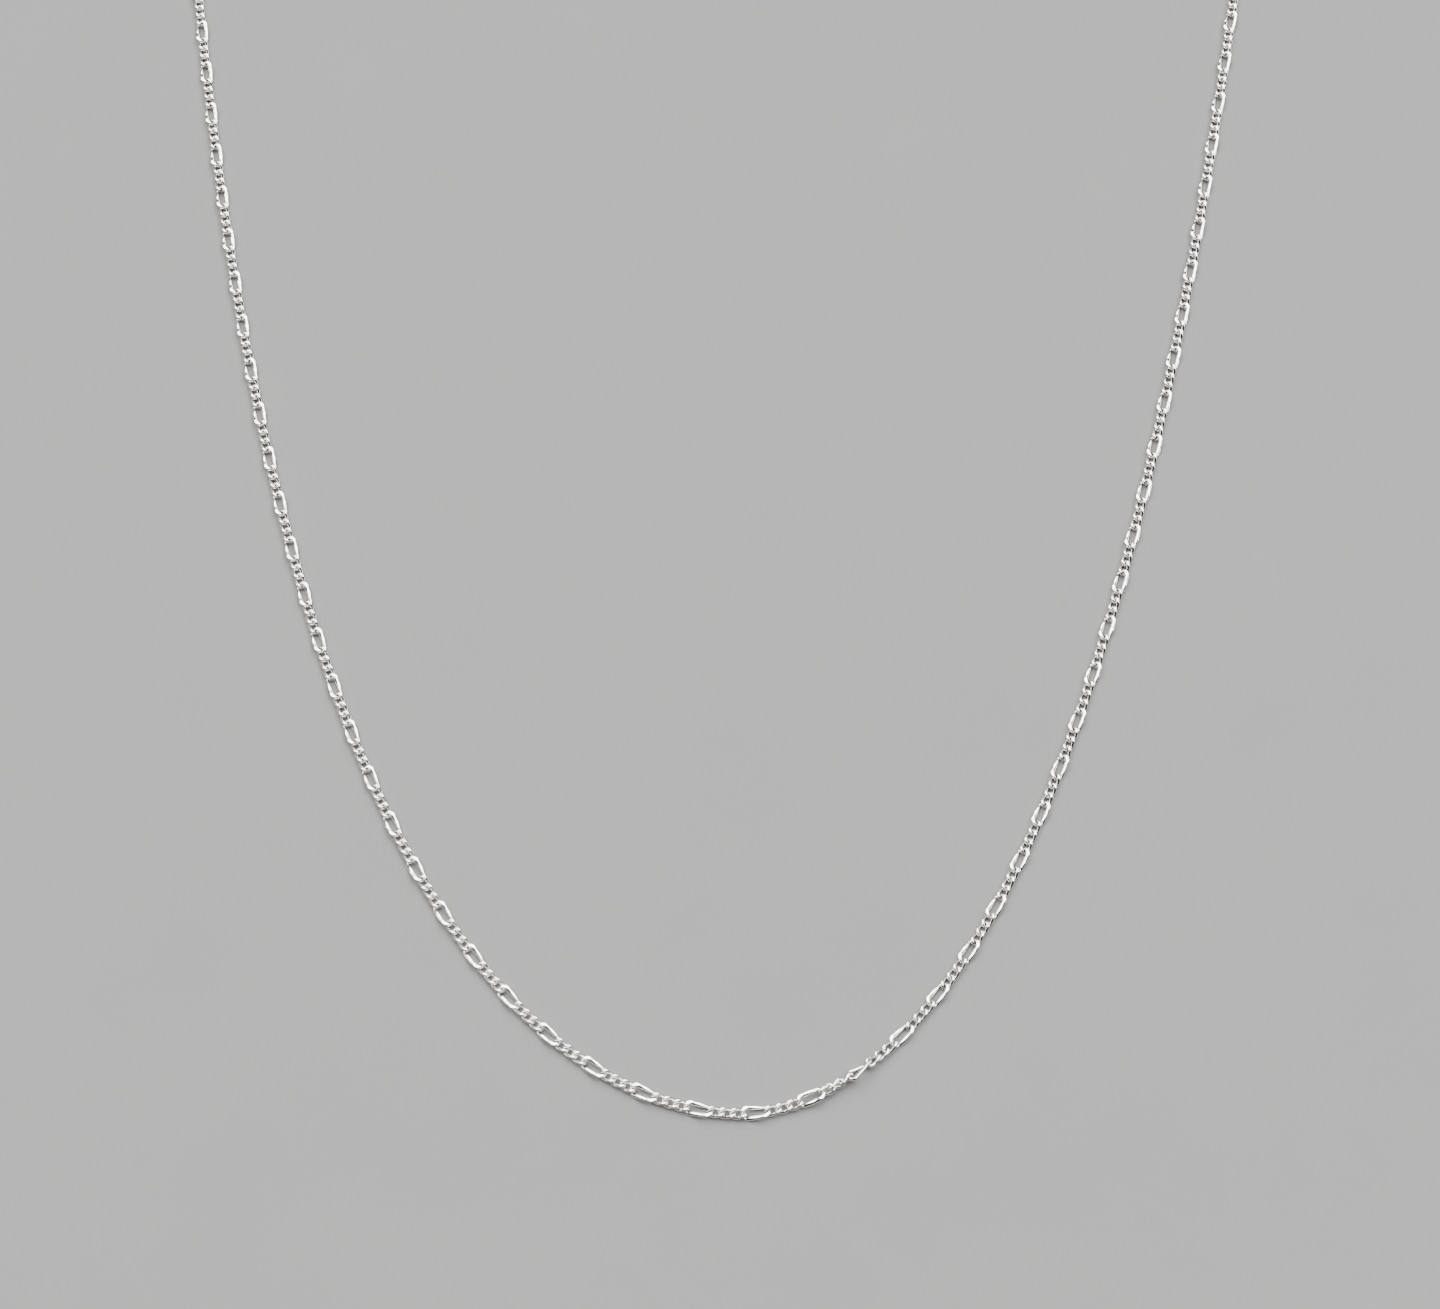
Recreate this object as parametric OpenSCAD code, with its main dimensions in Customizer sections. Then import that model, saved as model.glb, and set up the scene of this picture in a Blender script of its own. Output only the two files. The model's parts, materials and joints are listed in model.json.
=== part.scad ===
// Silver figaro chain necklace, laid open on a flat surface with the clasp undone.
// X runs across the loop, Y runs up both arms, Z is up from the surface.
// The origin is on the surface, at the middle of the space that the necklace takes up.

/* [Links] */
// round wire that every chain link is made from
wire_d = 0.32; // [0.28:0.01:0.33]
// full width of a short link across its own plane
short_w = 1.38; // [1.36:0.01:1.42]
// full width of a long link across its own plane
long_w = 1.70; // [1.66:0.01:1.76]
// advance of the chain for one short link
short_pitch = 1.13; // [1.12:0.01:1.16]
// advance of the chain for one long link
long_pitch = 2.36; // [2.30:0.01:2.60]
// slack between neighbouring links
play = 0.08; // [0.07:0.01:0.10]
// roll of each link out of the flat of the chain, to alternate sides
link_roll = 34; // [33:1:38]

/* [Drape] */
// how open the bottom of the loop is, left arm
left_bend = 26.35; // [20:0.05:34]
// how open the bottom of the loop is, right arm
right_bend = 17.14; // [15:0.02:30]
// how sharply the arms straighten
straighten = 0.936; // [0.85:0.002:1.05]
// distance along the right arm to the half turn in the chain
turn_at = 11.5; // [9:0.5:20]
// length of chain over which the half turn is spread
turn_length = 10; // [10:0.5:30]

/* [Rings] */
// wire of the catch ring and of the clasp ring
ring_wire = 0.45; // [0.40:0.01:0.48]
// outside diameter of the catch ring
catch_od = 4.2; // [3.8:0.1:5]
// outside diameter of the ring that carries the clasp
carrier_od = 3.4; // [3.2:0.1:4]

/* [Clasp] */
// radius of the claw's curved bar, to its centreline
claw_r = 2.15; // [2.1:0.05:2.4]
// thickness of the claw's bar
claw_bar = 1.1; // [0.9:0.05:1.15]
// thickness of the clasp across its cheeks
clasp_t = 2.0; // [1.9:0.05:2.2]
// thickness of the lever that closes the claw
lever_t = 0.9; // [0.7:0.05:0.95]
// diameter of the rivet that the lever turns on
rivet_d = 0.6; // [0.5:0.05:0.7]

/* [Hidden] */
$fn = 48;
lengths = 52;
function length_name(n) = str("links_", n < 10 ? "0" : "", n);

silver = [0.80, 0.80, 0.82];
bright = [0.88, 0.88, 0.90];
steel = [0.62, 0.63, 0.66];

// the chain: long, short, short, short, and so on, ending in a long link;
// its lengths have two repeats each, but one where the loop bends most
short_from = 18;
short_lengths = 18;
function first_link(n) = 8 * (n - 1) - 4 * min(max(n - short_from, 0), short_lengths);
link_count = first_link(lengths + 1) + 1;
repeat_len = long_pitch + 3 * short_pitch;
// arc length from the first link's outer end to the lowest point of the loop
left_len = 42.6 * repeat_len + long_pitch / 2;

function is_long(k) = k % 4 == 0;
function pitch_of(k) = is_long(k) ? long_pitch : short_pitch;
function start_of(k) =
  floor(k / 4) * repeat_len + (is_long(k) ? 0 : long_pitch + (k % 4 - 1) * short_pitch) - left_len;
function middle_of(k) = start_of(k) + pitch_of(k) / 2;

// direction of the chain at arc length s, measured from the lowest point
function heading(s) =
  s < 0 ? -atan(pow(-s / left_bend, straighten)) : atan(pow(s / right_bend, straighten));

// the points where links meet, walked out from the first link
walk = [for (k = 0, x = 0, y = 0; k <= link_count;
  x = x + pitch_of(k) * cos(heading(middle_of(k))),
  y = y + pitch_of(k) * sin(heading(middle_of(k))),
  k = k + 1) [x, y]];
// the lowest point lies in this link
low_link = search(1, [for (k = [0 : link_count - 1]) start_of(k) <= 0 && start_of(k + 1) > 0 ? 1 : 0])[0];
low_point = walk[low_link]
  - start_of(low_link) * [cos(heading(middle_of(low_link))), sin(heading(middle_of(low_link)))];

// slow twist of the chain about its own length: a half turn on the right arm,
// and a quarter of a turn at each end so that the end rings can lie flat
turn_first = floor((turn_at + left_len) / repeat_len) * 4;
turn_links = 2 * round(turn_length / repeat_len * 2);
end_turn = 50;
end_links = 12;
function side_of(k) = k % 2 == 0 ? 1 : -1;
// whole opening joints take most of each step, the closing ones take little
function turn_roll(k) =
  let (n = min(max(k - turn_first, 0), turn_links))
  180 * (n - (n % 2 == 1 ? 0.8 : 0)) / turn_links;
function end_roll(k) =
  end_turn * max(0, 1 - k / end_links) + end_turn * max(0, 1 - (link_count - 1 - k) / end_links);
function roll_of(k) = turn_roll(k) + end_roll(k);
function full_roll(k) = roll_of(k) + side_of(k) * link_roll;

// height of the chain's centreline over the surface: flat, standing on edge at the half turn,
// and raised at the ends where the rings are
flat_z = (long_w - wire_d) / 2 * sin(link_roll) + wire_d / 2;
turn_z = long_w / 2;
end_z = 0.86;
lift_links = 16;

// the clasp's eye stands upright, through the far side of the clasp ring
ring_in = (ring_wire + play) / 2;
catch_r = (catch_od - ring_wire) / 2;
carrier_r = (carrier_od - ring_wire) / 2;
eye_wire = 0.55;
eye_r = 0.72;
eye_x = 2 * carrier_r - ring_in - (ring_wire + eye_wire) / 2 - play + eye_r;
claw_x = 5.3;
clasp_reach = eye_x + claw_x;
function ease_in(t) = t <= 0 ? 0 : t >= 1 ? 1 : t * t * (3 - 2 * t);
function turn_lift(k) =
  let (d = abs(k - turn_first - turn_links / 2) - turn_links / 4)
  (turn_z - flat_z) * (1 - ease_in(d / (turn_links / 2)));
function end_lift(k) =
  (end_z - flat_z) * (1 - ease_in((k - 2) / lift_links))
  + (end_z - flat_z) * (1 - ease_in((link_count - 2 - k) / lift_links));
function height(k) = flat_z + turn_lift(k) + end_lift(k);

// where the outer edges of the end pieces come, to centre the whole necklace on the origin
function out_dir(a, b) = (walk[a] - walk[b]) / norm(walk[a] - walk[b]);
left_tip = walk[0] + out_dir(0, 1) * (catch_od - ring_wire) / 2 - [catch_od / 2, 0];
right_tip = walk[link_count] + out_dir(link_count, link_count - 1) * clasp_reach;
middle = [(left_tip[0] + right_tip[0] + claw_r) / 2, (low_point[1] + right_tip[1] + claw_r) / 2];
function meet(k) = [walk[k][0] - middle[0], walk[k][1] - middle[1], height(k)];

function azimuth_of(v) = atan2(v[1], v[0]);
function climb_of(v) = atan2(v[2], norm([v[0], v[1]]));

// ---- chain links ----

module bow(reach, r) {
  translate([reach, 0, 0])
    rotate([0, 0, -90])
      rotate_extrude(angle = 180)
        translate([r, 0])
          circle(d = wire_d);
}

// a closed oval of round wire, soldered shut, lying in its own XY plane
module oval_link(pitch, width) {
  outer = pitch + play + 2 * wire_d;
  r = (width - wire_d) / 2;
  reach = (outer - width) / 2;
  bow(reach, r);
  rotate([0, 0, 180])
    bow(reach, r);
  for (s = [-1, 1])
    translate([-reach, s * r, 0])
      rotate([0, 90, 0])
        cylinder(d = wire_d, h = 2 * reach);
}

module placed_link(k) {
  a = meet(k);
  b = meet(k + 1);
  translate((a + b) / 2)
    rotate([0, -climb_of(b - a), azimuth_of(b - a)])
      rotate([full_roll(k), 0, 0])
        oval_link(pitch_of(k), is_long(k) ? long_w : short_w);
}

// one length of chain; the last length also has the end link
module chain_length(n) {
  last = n == lengths ? link_count - 1 : first_link(n + 1) - 1;
  color(n % 2 == 0 ? silver : bright)
    for (k = [first_link(n) : last])
      placed_link(k);
}

// ---- rings ----

catch_drop = 8;
carrier_rise = 4;

module round_ring(r) {
  rotate_extrude()
    translate([r, 0])
      circle(d = ring_wire);
}

// a frame at the left end of the chain, X pointing away from it
module at_left_end() {
  translate(meet(0))
    rotate([0, 0, azimuth_of(meet(0) - meet(1))])
      children();
}

// the same at the right end
module at_right_end() {
  translate(meet(link_count))
    rotate([0, 0, azimuth_of(meet(link_count) - meet(link_count - 1))])
      children();
}

module catch_ring() {
  color(bright)
    at_left_end()
      rotate([0, catch_drop, 0])
        translate([catch_r - ring_in, 0, 0])
          round_ring(catch_r);
}

module clasp_ring() {
  color(bright)
    at_right_end()
      rotate([0, -carrier_rise, 0])
        translate([carrier_r - ring_in, 0, 0])
          round_ring(carrier_r);
}

// ---- lobster clasp, in its own frame: origin at the eye, X along it, Y to its open side ----

clasp_z = clasp_t / 2;
claw_from = -176;
claw_to = 68;
pivot = [2.75, 0.95];
cheek_r = 1.25;
slot_t = lever_t + 0.1;
lever_bar = 0.8;
lever_from = 60;
lever_to = 150;
// the lever's tip and the nose of the claw are cut to one arc about the rivet
tip_r = 3.28;
tip_gap = 0.06;
hub_r = 0.85;
rivet_play = 0.04;

module at_clasp() {
  translate([meet(link_count)[0], meet(link_count)[1], clasp_z])
    rotate([0, 0, azimuth_of(meet(link_count) - meet(link_count - 1))])
      translate([eye_x, 0, 0])
        children();
}

module at_pivot() {
  translate([pivot[0], pivot[1], 0])
    children();
}

// bar curved about the claw's centre, from one angle to another
module curved_bar(thick, from, to) {
  translate([claw_x, 0, 0])
    rotate([0, 0, from])
      rotate_extrude(angle = to - from)
        translate([claw_r, 0])
          circle(d = thick);
}

module clasp_body() {
  color(bright)
    at_clasp()
      difference() {
        union() {
          rotate([90, 0, 0])
            rotate_extrude()
              translate([eye_r, 0])
                circle(d = eye_wire);
          translate([eye_r, 0, 0])
            rotate([0, 90, 0])
              cylinder(d1 = 1.1, d2 = 1.7, h = 1.3);
          translate([2.35, 0.3, 0])
            cylinder(r = cheek_r, h = clasp_t, center = true);
          at_pivot()
            cylinder(r = 0.95, h = clasp_t, center = true);
          curved_bar(claw_bar, claw_from, claw_to);
        }
        // the nose's end face
        intersection() {
          at_pivot()
            cylinder(r = tip_r + tip_gap, h = 3 * claw_bar, center = true);
          translate([claw_x - 0.3, 1.2, -claw_bar])
            cube([2, 2, 2 * claw_bar]);
        }
        // slot for the lever's hub, open to the claw side
        translate([pivot[0] - hub_r - 0.1, pivot[1] - hub_r - 0.1, -slot_t / 2])
          cube([3, 3, slot_t]);
        at_pivot()
          cylinder(d = rivet_d, h = 2 * clasp_t, center = true);
      }
}

module clasp_rivet() {
  color(steel)
    at_clasp()
      at_pivot()
        cylinder(d = rivet_d, h = clasp_t, center = true);
}

module clasp_lever() {
  color(silver)
    at_clasp()
      difference() {
        union() {
          at_pivot()
            cylinder(r = hub_r, h = lever_t, center = true);
          intersection() {
            curved_bar(lever_bar, lever_from, lever_to);
            at_pivot()
              cylinder(r = tip_r, h = 2 * lever_bar, center = true);
          }
          // thumb nub
          translate([pivot[0] + 0.2, pivot[1] + 1.15, 0])
            cylinder(r = 0.45, h = lever_t, center = true);
          translate([pivot[0] - 0.15, pivot[1] + 0.2, -lever_t / 2])
            cube([0.7, 1.0, lever_t]);
        }
        at_pivot()
          cylinder(d = rivet_d + 2 * rivet_play, h = 2 * clasp_t, center = true);
      }
}

// bent leaf spring behind the lever's hub
module clasp_spring() {
  color(steel)
    at_clasp()
      translate([pivot[0], pivot[1], -0.25])
        rotate([0, 0, 190])
          rotate_extrude(angle = 60)
            translate([hub_r + 0.01, 0])
              square([0.06, 0.5]);
}

for (n = [1 : lengths])
  chain_length(n);
catch_ring();
clasp_ring();
clasp_body();
clasp_rivet();
clasp_lever();
clasp_spring();
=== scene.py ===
import json
import math

import bpy
import numpy as np
from mathutils import Matrix, Vector


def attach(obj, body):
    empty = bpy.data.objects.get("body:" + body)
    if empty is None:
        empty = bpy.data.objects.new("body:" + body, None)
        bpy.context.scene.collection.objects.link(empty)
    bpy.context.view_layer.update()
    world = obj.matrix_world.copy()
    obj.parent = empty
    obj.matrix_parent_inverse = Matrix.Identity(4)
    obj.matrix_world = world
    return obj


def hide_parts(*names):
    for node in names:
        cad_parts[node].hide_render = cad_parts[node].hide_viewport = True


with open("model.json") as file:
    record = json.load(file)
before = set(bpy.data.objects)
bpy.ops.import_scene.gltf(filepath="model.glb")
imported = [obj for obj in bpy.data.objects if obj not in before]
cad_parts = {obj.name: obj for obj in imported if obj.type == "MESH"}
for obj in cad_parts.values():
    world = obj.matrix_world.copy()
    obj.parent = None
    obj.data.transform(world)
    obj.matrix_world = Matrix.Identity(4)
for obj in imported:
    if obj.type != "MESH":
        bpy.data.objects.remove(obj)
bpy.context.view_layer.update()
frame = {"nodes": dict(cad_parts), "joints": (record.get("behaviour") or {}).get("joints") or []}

MM = 0.001

# ---- the chain's layout, the same rules as the CAD model, in millimetres ----

LENGTHS = 52
# lengths of two repeats each, but for these, which have one
SHORT_FROM = 18
SHORT_LENGTHS = 18
LONG_PITCH = 2.36
SHORT_PITCH = 1.13
REPEAT = LONG_PITCH + 3 * SHORT_PITCH
PLAY = 0.08
LEFT_BEND = 26.35
RIGHT_BEND = 17.14
STRAIGHTEN = 0.936
LEFT_LENGTH = 42.6 * REPEAT + LONG_PITCH / 2
TURN_FIRST = 176
# the joint where the half turn starts, which places the layout
TURN_JOINT = "bend_27"

# ---- how the real links are shaped ----

WIRE = 0.36
LONG_W = 1.55
SHORT_W = 1.22
# a long link's sides are stouter than its bows by this share, along its middle
STOUT = 0.36
STOUT_FROM = 0.80
STOUT_FULL = 0.35
# the soldered seam swells the wire by this share over this distance
SEAM_SWELL = 0.03
SEAM_SPAN = 0.09
# each link is twisted by this much either way, in degrees, towards its two ends
TWIST = 48
LONG_POWER = 1.2
SHORT_POWER = 0.8
# the finished chain is pressed between flat rollers to this thickness
THICK = 0.80
SOFT_EDGE = 0.035
# metal pressed down by this much is fully polished
RUB_DEPTH = 0.05
# how far the pressed metal spreads sideways, as a share of how far it is pressed down
SPREAD = 0.6
# roll of the links through the half turn in the right arm, in degrees
TURN_ROLLS = [10, 40, 70, 100, 130, 160, 180]
# the chain also turns towards both ends, which stands the outermost bows upright for the rings
END_ROLL = 90 - TWIST
END_LINKS = 12
# the links settle with a little roll of their own, in degrees
SETTLE = 0.8
ON_EDGE_Z = 0.78
END_Z = 0.86
LIFT_LINKS = 16


def first_link(n):
    return 8 * (n - 1) - 4 * min(max(n - SHORT_FROM, 0), SHORT_LENGTHS)


LINKS = first_link(LENGTHS + 1) + 1


def is_long(k):
    return k % 4 == 0


def pitch_of(k):
    return LONG_PITCH if is_long(k) else SHORT_PITCH


def middle_of(k):
    into = 0 if is_long(k) else LONG_PITCH + (k % 4 - 1) * SHORT_PITCH
    return k // 4 * REPEAT + into - LEFT_LENGTH + pitch_of(k) / 2


def heading(s):
    """Direction of the chain at arc length s from the lowest point, in radians."""
    if s < 0:
        return -math.atan((-s / LEFT_BEND) ** STRAIGHTEN)
    return math.atan((s / RIGHT_BEND) ** STRAIGHTEN)


def walk():
    """The points where links meet, placed by the CAD model's own joint at the start of the half turn."""
    points = [np.zeros(2)]
    for k in range(LINKS):
        turn = heading(middle_of(k))
        points.append(points[-1] + pitch_of(k) * np.array([math.cos(turn), math.sin(turn)]))
    points = np.array(points)
    joint = next(j for j in frame["joints"] if j["name"].endswith(TURN_JOINT))
    return points - points[TURN_FIRST] + np.array(joint["pos_m"][:2]) / MM


def ease(t):
    t = min(max(t, 0.0), 1.0)
    return t * t * (3 - 2 * t)


def height(k):
    """Height of the chain's middle over the surface at the joint before link k."""
    flat = THICK / 2
    turn_links = len(TURN_ROLLS) - 1
    away = abs(k - TURN_FIRST - turn_links / 2) - turn_links / 4
    turn = (ON_EDGE_Z - flat) * (1 - ease(away / (turn_links / 2)))
    ends = 2 - ease((k - 2) / LIFT_LINKS) - ease((LINKS - 2 - k) / LIFT_LINKS)
    return flat + turn + (END_Z - flat) * ends


def roll_of(k):
    """Roll of link k about the chain, in radians."""
    step = min(max(k - TURN_FIRST, 0), len(TURN_ROLLS) - 1)
    half_turn = TURN_ROLLS[step] if k >= TURN_FIRST else 0
    first = END_ROLL * max(0, 1 - k / END_LINKS)
    last = END_ROLL * max(0, 1 - (LINKS - 1 - k) / END_LINKS)
    return math.radians(first - last + half_turn + SETTLE * math.sin(2.4 * k))


FLAT_POINTS = walk()
MEET = np.array([[*FLAT_POINTS[k], height(k)] for k in range(LINKS + 1)])


# ---- mesh helpers ----


def new_object(name, verts, faces, smooth=True):
    mesh = bpy.data.meshes.new(name)
    mesh.from_pydata(np.asarray(verts).tolist(), [], [list(map(int, face)) for face in faces])
    mesh.update()
    if smooth:
        mesh.polygons.foreach_set("use_smooth", [True] * len(mesh.polygons))
    obj = bpy.data.objects.new(name, mesh)
    bpy.context.scene.collection.objects.link(obj)
    return obj


def tube_faces(rings, sides):
    """Quads of a closed loop of rings."""
    i, j = np.meshgrid(np.arange(rings), np.arange(sides), indexing="ij")
    a = i * sides + j
    b = i * sides + (j + 1) % sides
    c = (i + 1) % rings * sides + (j + 1) % sides
    d = (i + 1) % rings * sides + j
    return np.stack([a, d, c, b], -1).reshape(-1, 4)


# ---- one twisted, pressed link ----

BOW_STEPS = 18
SIDE_STEPS = {True: 16, False: 7}
SIDES = 18


def oval_path(pitch, width, straight_steps):
    """Centreline points of the oval, their outward directions, and half the centreline's length."""
    length = pitch + PLAY + WIRE
    radius = (width - WIRE) / 2
    reach = length / 2 - radius
    points, outward = [], []
    for side in (1, -1):
        for a in np.linspace(-math.pi / 2, math.pi / 2, BOW_STEPS, endpoint=False):
            points.append([side * (reach + radius * math.cos(a)), side * radius * math.sin(a)])
            outward.append([side * math.cos(a), side * math.sin(a)])
        for t in np.linspace(1, -1, straight_steps, endpoint=False):
            points.append([side * t * reach, side * radius])
            outward.append([0, side])
    return np.array(points), np.array(outward), length / 2


def soft_limit(z, limit):
    """Presses z to within the limit either way, with a softly rounded edge."""
    over = np.abs(z) - limit
    edge = (over + SOFT_EDGE) ** 2 / (4 * SOFT_EDGE)
    eased = np.where(over < -SOFT_EDGE, 0, np.where(over > SOFT_EDGE, over, edge))
    return np.sign(z) * (np.abs(z) - eased)


def link_shape(long):
    """Vertices of one link about its own middle, how rubbed each is, and how far each lies on the inner
    side towards the link's ends, where the metal is tarnished and painted with shade.
    """
    pitch, width = (LONG_PITCH, LONG_W) if long else (SHORT_PITCH, SHORT_W)
    path, outward, half = oval_path(pitch, width, SIDE_STEPS[long])
    share = np.abs(path[:, 0]) / half
    rise = np.clip((STOUT_FROM - share) / (STOUT_FROM - STOUT_FULL), 0, 1)
    stout = STOUT * rise * rise * (3 - 2 * rise) * long
    # the wire grows inwards only, and the solder seam swells it a little on one side
    path = path - outward * (stout * WIRE / 2)[:, None]
    from_seam = np.hypot(path[:, 0], path[:, 1] + (width - WIRE) / 2)
    seam = SEAM_SWELL * np.exp(-((from_seam / SEAM_SPAN) ** 2))
    radius = (WIRE / 2 * (1 + stout + seam))[:, None]
    a = np.linspace(0, 2 * math.pi, SIDES, endpoint=False)
    rings = np.zeros((len(path), SIDES, 3))
    rings[..., 0] = path[:, None, 0] + outward[:, None, 0] * radius * np.cos(a)
    rings[..., 1] = path[:, None, 1] + outward[:, None, 1] * radius * np.cos(a)
    rings[..., 2] = WIRE / 2 * np.sin(a)
    flat = rings.reshape(-1, 3)
    along = np.clip(flat[:, 0] / half, -1, 1)
    turn = -math.radians(TWIST) * np.sign(along) * np.abs(along) ** (LONG_POWER if long else SHORT_POWER)
    y = flat[:, 1] * np.cos(turn) - flat[:, 2] * np.sin(turn)
    z = flat[:, 1] * np.sin(turn) + flat[:, 2] * np.cos(turn)
    pressed = soft_limit(z, THICK / 2)
    lost = np.abs(z) - np.abs(pressed)
    rubbed = np.clip(lost / RUB_DEPTH, 0, 1)
    # the pressed metal spreads to the outer side of the strand
    middle = np.repeat(path[:, 1], SIDES) * np.cos(turn)
    most = np.repeat(lost.reshape(len(path), SIDES).max(1), SIDES)
    y = y + SPREAD * most * np.clip((y - middle) * np.sign(middle) / (WIRE / 2), 0, 1) * np.sign(middle)
    # the inner side of the wire, growing towards the link's ends: this mask darkens the metal, partly as
    # tarnish and partly as painted shade
    tarnish_and_shade_mask = np.repeat(share, SIDES) * np.tile(np.clip(-np.cos(a), 0, 1), len(path))
    return np.column_stack([flat[:, 0], y, pressed]), rubbed, tarnish_and_shade_mask


def placed(shape, k):
    """A link's vertices where link k lies, in metres."""
    start, end = MEET[k], MEET[k + 1]
    along = (end - start) / np.linalg.norm(end - start)
    across = np.array([-along[1], along[0], 0]) / math.hypot(along[0], along[1])
    up = np.cross(along, across)
    roll = roll_of(k)
    side = across * math.cos(roll) + up * math.sin(roll)
    top = up * math.cos(roll) - across * math.sin(roll)
    return ((start + end) / 2 + shape @ np.array([along, side, top])) * MM


def chain_length(n, shapes):
    """One length of chain as a mesh of separate interlocked links."""
    last = LINKS if n == LENGTHS else first_link(n + 1)
    verts, faces, rubbed, tarnish_and_shade_mask, count = [], [], [], [], 0
    for k in range(first_link(n), last):
        shape, rub, tarnish_and_shade = shapes[is_long(k)]
        verts.append(placed(shape, k))
        faces.append(tube_faces(len(shape) // SIDES, SIDES) + count)
        rubbed.append(rub)
        tarnish_and_shade_mask.append(tarnish_and_shade)
        count += len(shape)
    obj = new_object("chain_%02d" % n, np.concatenate(verts), np.concatenate(faces))
    # the second attribute carries the painted shade, partly tarnish, for the links' inner sides
    for name, values in (("rubbed", rubbed), ("tarnish_and_painted_shade", tarnish_and_shade_mask)):
        layer = obj.data.attributes.new(name, "FLOAT", "POINT")
        layer.data.foreach_set("value", np.concatenate(values).astype(np.float32))
    return obj


# ---- cast pieces: distance fields in the clasp's own frame, in millimetres ----

# X runs from the clasp's eye along it, Y to its open side, and Z up, as in the CAD model
EYE_R = 0.72
EYE_WIRE = 0.55
CLAW_X = 5.3
CLAW_R = 2.15
CLAW_FROM = -176
NOSE_FROM = 20
CLAW_TO = 68
PIVOT = (2.75, 0.95)
CHEEK_AT = (2.35, 0.3)
CHEEK_R = 1.2
PIVOT_R = 0.92
CHEEK_HALF = 0.94
SLOT_HALF = 0.5
HUB_R = 0.85
RIVET_R = 0.3
HEAD_R = 0.43
HEAD_DOME = 0.055
# the lever's tip and the claw's nose are cut to one arc about the rivet
TIP_R = 3.28
TIP_GAP = 0.06
# the thumb nub and the grooves round it, in degrees
NUB_R = 0.45
GROOVES = [50, 75, 100, 125]
GROOVE_R = 0.05


def soft_union(a, b, blend):
    share = np.clip(0.5 + 0.5 * (b - a) / blend, 0, 1)
    return b + (a - b) * share - blend * share * (1 - share)


def soft_cut(a, b, blend):
    """The solid a without the solid b."""
    return -soft_union(-a, b, blend)


def plate(outline, z, half, rounding):
    """A flat plate with rounded rims, from the distance to its outline."""
    out = outline + rounding
    up = np.abs(z) - half + rounding
    beyond = np.hypot(np.maximum(out, 0), np.maximum(up, 0))
    return beyond + np.minimum(np.maximum(out, up), 0) - rounding


def circle(p, centre, radius):
    return np.hypot(p[0] - centre[0], p[1] - centre[1]) - radius


def bar(p, start, end, start_r, end_r):
    """A straight bar with round ends, between two points of the middle plane."""
    dx, dy = end[0] - start[0], end[1] - start[1]
    t = np.clip(((p[0] - start[0]) * dx + (p[1] - start[1]) * dy) / (dx * dx + dy * dy), 0, 1)
    away = np.hypot(p[0] - start[0] - t * dx, p[1] - start[1] - t * dy)
    return np.hypot(away, p[2]) - start_r - (end_r - start_r) * t


def arc_bar(p, start, stop, start_r, stop_r):
    """A bar bent about the claw's centre, between two angles in degrees."""
    middle = (start + stop) / 2
    angle = np.degrees(np.arctan2(p[1], p[0] - CLAW_X))
    angle = np.clip((angle - middle + 180) % 360 - 180, start - middle, stop - middle) + middle
    t = (angle - start) / (stop - start)
    angle = np.radians(angle)
    away = np.hypot(p[0] - CLAW_X - CLAW_R * np.cos(angle), p[1] - CLAW_R * np.sin(angle))
    return np.hypot(away, p[2]) - start_r - (stop_r - start_r) * t


def block(p, low, high):
    middle = [(a + b) / 2 for a, b in zip(low, high)]
    q = [np.abs(v - m) - (b - a) / 2 for v, m, a, b in zip(p, middle, low, high)]
    outer = np.sqrt(sum(np.maximum(v, 0) ** 2 for v in q))
    return outer + np.minimum(np.maximum(np.maximum(q[0], q[1]), q[2]), 0)


def body_field(p):
    """The clasp's casting: eye, neck, cheeks and claw, with the lever's slot and the rivet's hole."""
    eye = np.hypot(np.hypot(p[0], p[2]) - EYE_R, p[1]) - EYE_WIRE / 2
    neck = bar(p, (EYE_R + 0.15, 0), (2.1, 0.15), 0.38, 0.82)
    outline = soft_union(circle(p, CHEEK_AT, CHEEK_R), circle(p, PIVOT, PIVOT_R), 0.3)
    cheeks = plate(outline, p[2], CHEEK_HALF, 0.35)
    claw = arc_bar(p, CLAW_FROM, NOSE_FROM, 0.64, 0.53)
    nose = arc_bar(p, NOSE_FROM, CLAW_TO, 0.53, 0.47)
    nose = soft_cut(nose, circle(p, PIVOT, TIP_R + TIP_GAP), 0.05)
    solid = soft_union(soft_union(eye, neck, 0.25), cheeks, 0.3)
    solid = soft_union(solid, claw, 0.25)
    solid = np.minimum(solid, nose)
    corner = [v - HUB_R - 0.1 for v in PIVOT]
    slot = block(p, (*corner, -SLOT_HALF), (corner[0] + 3, corner[1] + 3, SLOT_HALF))
    return soft_cut(soft_cut(solid, slot, 0.05), circle(p, PIVOT, RIVET_R + 0.005), 0.03)


def lever_field(p):
    """The lever: a hub on the rivet, the gate that closes the claw, and a grooved nub for the thumb."""
    hub = plate(circle(p, PIVOT, HUB_R), p[2], 0.45, 0.1)
    gate = arc_bar(p, 60, 150, 0.37, 0.4)
    gate = -soft_union(-gate, -circle(p, PIVOT, TIP_R), 0.05)
    nub_at = (PIVOT[0] + 0.2, PIVOT[1] + 1.15)
    nub = plate(circle(p, nub_at, NUB_R), p[2], NUB_R, 0.16)
    stem = bar(p, (PIVOT[0] + 0.1, PIVOT[1] + 0.5), nub_at, 0.38, 0.34)
    solid = soft_union(soft_union(hub, gate, 0.15), soft_union(nub, stem, 0.1), 0.12)
    for turn in np.radians(GROOVES):
        reach = NUB_R + 0.02
        groove_at = (nub_at[0] + reach * math.cos(turn), nub_at[1] + reach * math.sin(turn))
        solid = soft_cut(solid, circle(p, groove_at, GROOVE_R), 0.03)
    return soft_cut(solid, circle(p, PIVOT, RIVET_R + 0.04), 0.03)


# the distance either way over which a field's slope is taken
SLOPE_STEP = 0.004


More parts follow.
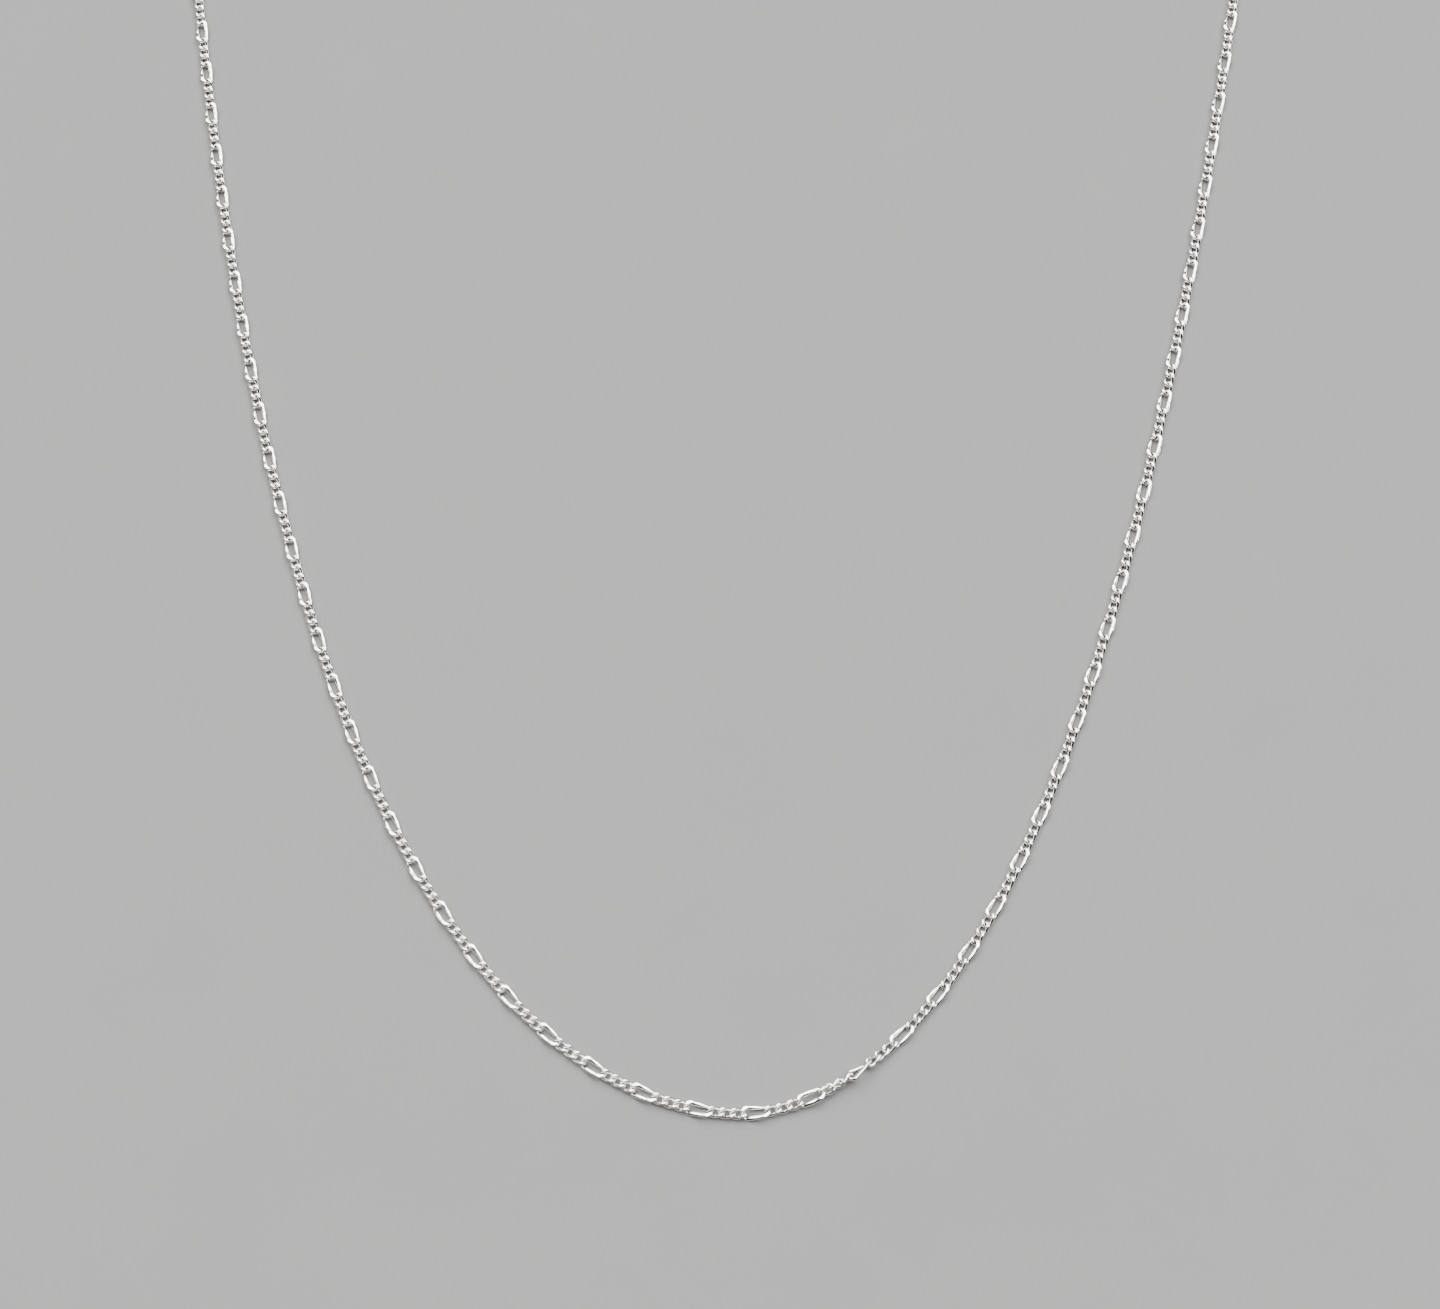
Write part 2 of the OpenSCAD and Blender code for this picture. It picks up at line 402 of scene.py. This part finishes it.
def surface_of(field, low, high, step):
    """Vertices and quads of the surface where the field is zero, settled onto it."""
    axes = [np.arange(a, b + step, step) for a, b in zip(low, high)]
    value = field(np.meshgrid(*axes, indexing="ij"))
    cells = [n - 1 for n in value.shape]
    corner = {}
    for offset in np.ndindex(2, 2, 2):
        corner[offset] = value[tuple(slice(o, o + n) for o, n in zip(offset, cells))]
    total = np.zeros((*cells, 3))
    count = np.zeros(cells)
    for a in corner:
        for axis in range(3):
            if a[axis]:
                continue
            b = tuple(1 if i == axis else v for i, v in enumerate(a))
            cut = (corner[a] < 0) != (corner[b] < 0)
            with np.errstate(divide="ignore", invalid="ignore"):
                t = np.where(cut, corner[a] / (corner[a] - corner[b]), 0)
            for i in range(3):
                total[..., i] += np.where(cut, t if i == axis else a[i], 0)
            count += cut
    used = count > 0
    index = np.full(cells, -1)
    index[used] = np.arange(used.sum())
    points = np.argwhere(used) + total[used] / count[used][:, None]
    points = np.array(low) + points * step
    faces = []
    for axis in range(3):
        u, v = (axis + 1) % 3, (axis + 2) % 3
        here = [slice(1, n) for n in cells]
        here[axis] = slice(0, cells[axis])
        there = list(here)
        there[axis] = slice(1, cells[axis] + 1)
        a, b = value[tuple(here)] < 0, value[tuple(there)] < 0
        for inward in (True, False):
            at = np.argwhere((a == inward) & (b != inward))
            at[:, u] += 1
            at[:, v] += 1
            ring = []
            for du, dv in ((0, 0), (-1, 0), (-1, -1), (0, -1)):
                cell = at.copy()
                cell[:, u] += du
                cell[:, v] += dv
                ring.append(index[tuple(cell.T)])
            ring = np.stack(ring, -1)
            faces.append(ring if inward else ring[:, ::-1])
    for _ in range(3):
        here = field(points.T)
        ahead = [field((points + d).T) for d in np.eye(3) * SLOPE_STEP]
        behind = [field((points - d).T) for d in np.eye(3) * SLOPE_STEP]
        slope = (np.stack(ahead, -1) - np.stack(behind, -1)) / (2 * SLOPE_STEP)
        size = np.maximum((slope ** 2).sum(-1), 0.3)
        points = points - np.clip(here / size, -step / 2, step / 2)[:, None] * slope
    return points, np.concatenate(faces)


# ---- rings and the clasp's pieces ----

RING_WIRE = 0.45
CATCH_R = (4.2 - RING_WIRE) / 2
CARRIER_R = (3.4 - RING_WIRE) / 2
RING_IN = (RING_WIRE + PLAY) / 2
CATCH_DROP = math.radians(8)
CARRIER_RISE = math.radians(4)
# the soldered seam: where it is and how far it spreads, in radians, and how much it swells the wire
RING_SEAM_AT = 1.9
RING_SEAM_SPAN = 0.055
RING_SEAM_SWELL = 0.04
# cell size and corners of the grid the cast pieces are found on
CAST_STEP = 0.05
CAST_LOW = (-1.15, -2.85, -1.15)
CAST_HIGH = (8.15, 2.85, 1.15)


def outward_axes(end, before):
    """Axes at an end of the chain: away from it, to its left and up."""
    away = MEET[end][:2] - MEET[before][:2]
    away = away / np.linalg.norm(away)
    return np.array([[*away, 0], [-away[1], away[0], 0], [0, 0, 1]])


def ring(name, radius, start, axes, tilt):
    """A round ring of wire with a soldered seam, hung on the outermost link and tilted about it."""
    across = np.linspace(0, 2 * math.pi, 120, endpoint=False)
    around = np.linspace(0, 2 * math.pi, 24, endpoint=False)
    seam = np.exp(-((across - RING_SEAM_AT) / RING_SEAM_SPAN) ** 2)
    wire = (RING_WIRE / 2 * (1 + RING_SEAM_SWELL * seam))[:, None]
    out = radius + wire * np.cos(around)
    x = radius - RING_IN + out * np.cos(across)[:, None]
    y = out * np.sin(across)[:, None]
    z = wire * np.sin(around)
    lean = math.cos(tilt) * axes[0] + math.sin(tilt) * axes[2]
    up = math.cos(tilt) * axes[2] - math.sin(tilt) * axes[0]
    points = start + np.stack([x, y, z], -1).reshape(-1, 3) @ np.array([lean, axes[1], up])
    return new_object(name, points * MM, tube_faces(len(across), len(around)))


def clasp_frame():
    """The clasp's own axes and origin, placed by the CAD model's lever joint."""
    axes = outward_axes(LINKS, LINKS - 1)
    joint = next(j for j in frame["joints"] if j["name"] == "clasp_lever_open")
    return np.array(joint["pos_m"]) / MM - PIVOT[0] * axes[0] - PIVOT[1] * axes[1], axes


def cast_piece(name, field):
    points, faces = surface_of(field, CAST_LOW, CAST_HIGH, CAST_STEP)
    origin, axes = clasp_frame()
    return new_object(name, (origin + points @ axes) * MM, faces)


def rivet():
    """A pin with both ends peened over into low domes."""
    turns = np.linspace(0, math.pi / 2, 9)
    head = [(HEAD_R * math.sin(a), CHEEK_HALF + HEAD_DOME * math.cos(a)) for a in turns]
    profile = head + [(HEAD_R - 0.02, CHEEK_HALF - 0.015), (RIVET_R, CHEEK_HALF - 0.02)]
    profile = np.array(profile[1:] + [(r, -z) for r, z in reversed(profile[1:])])
    around = np.linspace(0, 2 * math.pi, 48, endpoint=False)
    x = PIVOT[0] + profile[:, :1] * np.cos(around)
    y = PIVOT[1] + profile[:, :1] * np.sin(around)
    z = np.repeat(profile[:, 1:], len(around), 1)
    points = np.stack([x, y, z], -1).reshape(-1, 3)
    top = head[0][1]
    points = np.vstack([points, [(*PIVOT, top), (*PIVOT, -top)]])
    sides = len(around)
    last = (len(profile) - 1) * sides
    faces = []
    for i in range(len(profile) - 1):
        for j in range(sides):
            a, b = i * sides + j, i * sides + (j + 1) % sides
            faces.append((a, a + sides, b + sides, b))
    for j in range(sides):
        k = (j + 1) % sides
        faces.append((j, k, len(points) - 2))
        faces.append((last + k, last + j, len(points) - 1))
    origin, axes = clasp_frame()
    return new_object("clasp_rivet_peened", (origin + points @ axes) * MM, faces)


# ---- materials ----

BRIGHT = (0.94, 0.93, 0.91)


def material(name):
    m = bpy.data.materials.new(name)
    m.use_nodes = True
    return m, m.node_tree.nodes, m.node_tree.links, m.node_tree.nodes["Principled BSDF"]


def noise(nodes, links, coords, scale, detail=4.0, rough=0.55):
    n = nodes.new("ShaderNodeTexNoise")
    n.inputs["Scale"].default_value = scale
    n.inputs["Detail"].default_value = detail
    n.inputs["Roughness"].default_value = rough
    links.new(coords, n.inputs["Vector"])
    return n.outputs["Fac"]


def remap(nodes, links, value, low, high, to_low, to_high):
    n = nodes.new("ShaderNodeMapRange")
    ends = {"From Min": low, "From Max": high, "To Min": to_low, "To Max": to_high}
    for socket, number in ends.items():
        n.inputs[socket].default_value = number
    links.new(value, n.inputs["Value"])
    return n.outputs["Result"]


def math_node(nodes, links, operation, a, b):
    n = nodes.new("ShaderNodeMath")
    n.operation = operation
    for socket, value in zip(n.inputs, (a, b)):
        if isinstance(value, (int, float)):
            socket.default_value = value
        else:
            links.new(value, socket)
    return n.outputs[0]


def colour_mix(nodes, links, factor, a, b):
    n = nodes.new("ShaderNodeMix")
    n.data_type = "RGBA"
    links.new(factor, n.inputs["Factor"])
    for socket, value in ((n.inputs[6], a), (n.inputs[7], b)):
        if isinstance(value, tuple):
            socket.default_value = (*value, 1)
        else:
            links.new(value, socket)
    return n.outputs[2]


def attribute(nodes, name):
    n = nodes.new("ShaderNodeAttribute")
    n.attribute_name = name
    return n.outputs["Fac"]


def silver(name, bright, shade, smooth, worn, scratch, use_wear_and_shade):
    """Polished silver with fine scratches and patchy tarnishing, brighter on rubbed flats, and darkened
    on the links' inner sides where it is tarnished and painted with shade.
    """
    m, nodes, links, shader = material(name)
    coords = nodes.new("ShaderNodeTexCoord").outputs["Object"]
    cloud = noise(nodes, links, coords, 1400.0)
    fine = noise(nodes, links, coords, 9000.0, 6.0, 0.7)
    stretch = nodes.new("ShaderNodeMapping")
    stretch.inputs["Scale"].default_value = (1.0, 0.12, 1.0)
    stretch.inputs["Rotation"].default_value = (0.3, 0.2, 0.9)
    links.new(coords, stretch.inputs["Vector"])
    lines = noise(nodes, links, stretch.outputs["Vector"], 26000.0, 3.0, 0.6)
    tarnish_and_shade_mix = remap(nodes, links, cloud, 0.35, 0.75, 0.0, 0.35)
    if use_wear_and_shade:
        # painted shade, partly tarnish: the links' inner sides are mixed towards the shade colour
        tarnish_and_shade = math_node(nodes, links, "MULTIPLY", attribute(nodes, "tarnish_and_painted_shade"), 0.75)
        tarnish_and_shade_mix = math_node(nodes, links, "MAXIMUM", tarnish_and_shade_mix, tarnish_and_shade)
    links.new(colour_mix(nodes, links, tarnish_and_shade_mix, bright, shade), shader.inputs["Base Color"])
    rough = remap(nodes, links, fine, 0.3, 0.7, smooth, worn)
    if use_wear_and_shade:
        polish = remap(nodes, links, attribute(nodes, "rubbed"), 0.0, 1.0, 1.0, 0.75)
        rough = math_node(nodes, links, "MULTIPLY", rough, polish)
    links.new(rough, shader.inputs["Roughness"])
    bump = nodes.new("ShaderNodeBump")
    bump.inputs["Strength"].default_value = scratch
    bump.inputs["Distance"].default_value = 0.000002
    links.new(lines, bump.inputs["Height"])
    links.new(bump.outputs["Normal"], shader.inputs["Normal"])
    shader.inputs["Metallic"].default_value = 1.0
    return m


# ---- stage, lights and camera ----

# camera: tilt from straight down, distance and turn, and where it aims from the loop's lowest point
CAMERA_TILT = math.radians(26.38)
CAMERA_DISTANCE = 396.14
CAMERA_TURN = -0.0451
AIM_ACROSS = -1.2627
AIM_ALONG = 51.185
FOCAL_LENGTH = 93.5


def low_point():
    """The loop's lowest point, between the two joints beside it."""
    return FLAT_POINTS[np.argmin(FLAT_POINTS[:, 1])]


def set_camera():
    c, s = math.cos(CAMERA_TURN), math.sin(CAMERA_TURN)
    right = Vector((c, -s, 0))
    ahead = Vector((s, c, 0))
    low = Vector((*low_point(), THICK / 2))
    aim = low + right * AIM_ACROSS + ahead * AIM_ALONG
    view = ahead * math.sin(CAMERA_TILT) - Vector((0, 0, math.cos(CAMERA_TILT)))
    up = right.cross(view)
    data = bpy.data.cameras.new("camera")
    data.lens = FOCAL_LENGTH
    data.sensor_width = 36
    data.clip_start = 0.005
    camera = bpy.data.objects.new("camera", data)
    bpy.context.scene.collection.objects.link(camera)
    turn = Matrix((right, up, -view)).transposed().to_4x4()
    camera.matrix_world = Matrix.Translation((aim - view * CAMERA_DISTANCE) * MM) @ turn
    bpy.context.scene.camera = camera


# the main light: a broad disc far away, in the direction that flat silver mirrors to the camera
LIGHT_ANGLE = math.radians(80)
LIGHT_TILT = math.radians(25)
LIGHT_STRENGTH = 13.5
# the dome is as pale as the floor up to the first height over the horizon and dark above the second
DOME_LOW = 0.10
DOME_HIGH = 0.28
DOME_PALE = 0.72
DOME_DARK = 0.04


def add_light(name, kind, place, target, power, colour):
    data = bpy.data.lights.new(name, kind)
    data.energy = power
    data.color = colour
    light = bpy.data.objects.new(name, data)
    bpy.context.scene.collection.objects.link(light)
    light.location = place
    light.rotation_euler = (Vector(target) - Vector(place)).to_track_quat("-Z", "Y").to_euler()
    return data


def strip_light(name, place, size, power, colour):
    data = add_light(name, "AREA", place, (0, 0, 0), power, colour)
    data.shape = "RECTANGLE"
    data.size, data.size_y = size


def set_stage():
    m, nodes, links, shader = material("paper")
    coords = nodes.new("ShaderNodeTexCoord").outputs["Object"]
    tone = noise(nodes, links, coords, 60.0)
    pale = colour_mix(nodes, links, tone, (0.140, 0.140, 0.140), (0.150, 0.150, 0.149))
    links.new(pale, shader.inputs["Base Color"])
    shader.inputs["Roughness"].default_value = 0.9
    size = 12.0
    corners = [(-size, -size, 0), (size, -size, 0), (size, size, 0), (-size, size, 0)]
    floor = new_object("floor", corners, [(0, 1, 2, 3)], smooth=False)
    floor.data.materials.append(m)


def set_lights():
    """A dome that is pale at the horizon and dark overhead, one broad soft light and two strips."""
    world = bpy.data.worlds.new("world")
    world.use_nodes = True
    nodes, links = world.node_tree.nodes, world.node_tree.links
    split = nodes.new("ShaderNodeSeparateXYZ")
    links.new(nodes.new("ShaderNodeTexCoord").outputs["Generated"], split.inputs[0])
    glow = remap(nodes, links, split.outputs["Z"], DOME_LOW, DOME_HIGH, DOME_PALE, DOME_DARK)
    nodes["Background"].inputs["Color"].default_value = (0.97, 0.98, 1.0, 1)
    links.new(glow, nodes["Background"].inputs["Strength"])
    bpy.context.scene.world = world
    toward = (0, math.sin(LIGHT_TILT), math.cos(LIGHT_TILT))
    add_light("softbox", "SUN", toward, (0, 0, 0), LIGHT_STRENGTH, (1.0, 0.99, 0.98)).angle = LIGHT_ANGLE
    strip_light("left_strip", (-0.62, 0.05, 0.40), (0.06, 0.7), 1.6, (1.0, 0.98, 0.95))
    strip_light("right_strip", (0.62, -0.10, 0.34), (0.05, 0.6), 1.2, (0.95, 0.97, 1.0))


# ---- making the object ----


def finished(piece, node, body, finish):
    piece.data.materials.append(finish)
    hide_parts(node)
    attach(piece, body)


def make_chain():
    shapes = {long: link_shape(long) for long in (True, False)}
    # the dark shade colour serves both patchy tarnish and the painted shade on the links' inner sides
    finish = silver("chain_silver", BRIGHT, (0.28, 0.265, 0.245), 0.05, 0.17, 0.35, True)
    for n in range(1, LENGTHS + 1):
        finished(chain_length(n, shapes), "links_%02d" % n, "length_%02d" % n, finish)


def make_rings():
    finish = silver("ring_silver", BRIGHT, (0.62, 0.60, 0.57), 0.05, 0.16, 0.35, False)
    left, right = outward_axes(0, 1), outward_axes(LINKS, LINKS - 1)
    catch = ring("catch_ring_wire", CATCH_R, MEET[0], left, -CATCH_DROP)
    carrier = ring("clasp_ring_wire", CARRIER_R, MEET[LINKS], right, CARRIER_RISE)
    finished(catch, "catch_ring", "catch_ring", finish)
    finished(carrier, "clasp_ring", "clasp_ring", finish)


def make_clasp():
    cast = silver("cast_silver", BRIGHT, (0.60, 0.58, 0.55), 0.08, 0.22, 0.45, False)
    steel = silver("spring_steel", (0.60, 0.61, 0.63), (0.40, 0.41, 0.43), 0.2, 0.35, 0.5, False)
    body = cast_piece("clasp_body_cast", body_field)
    lever = cast_piece("clasp_lever_cast", lever_field)
    finished(body, "clasp_body", "clasp", cast)
    finished(lever, "clasp_lever", "clasp_lever", cast)
    finished(rivet(), "clasp_rivet", "clasp", cast)
    spring = frame["nodes"]["clasp_spring"].data
    spring.materials.clear()
    spring.materials.append(steel)


make_chain()
make_rings()
make_clasp()
set_stage()
set_lights()
set_camera()
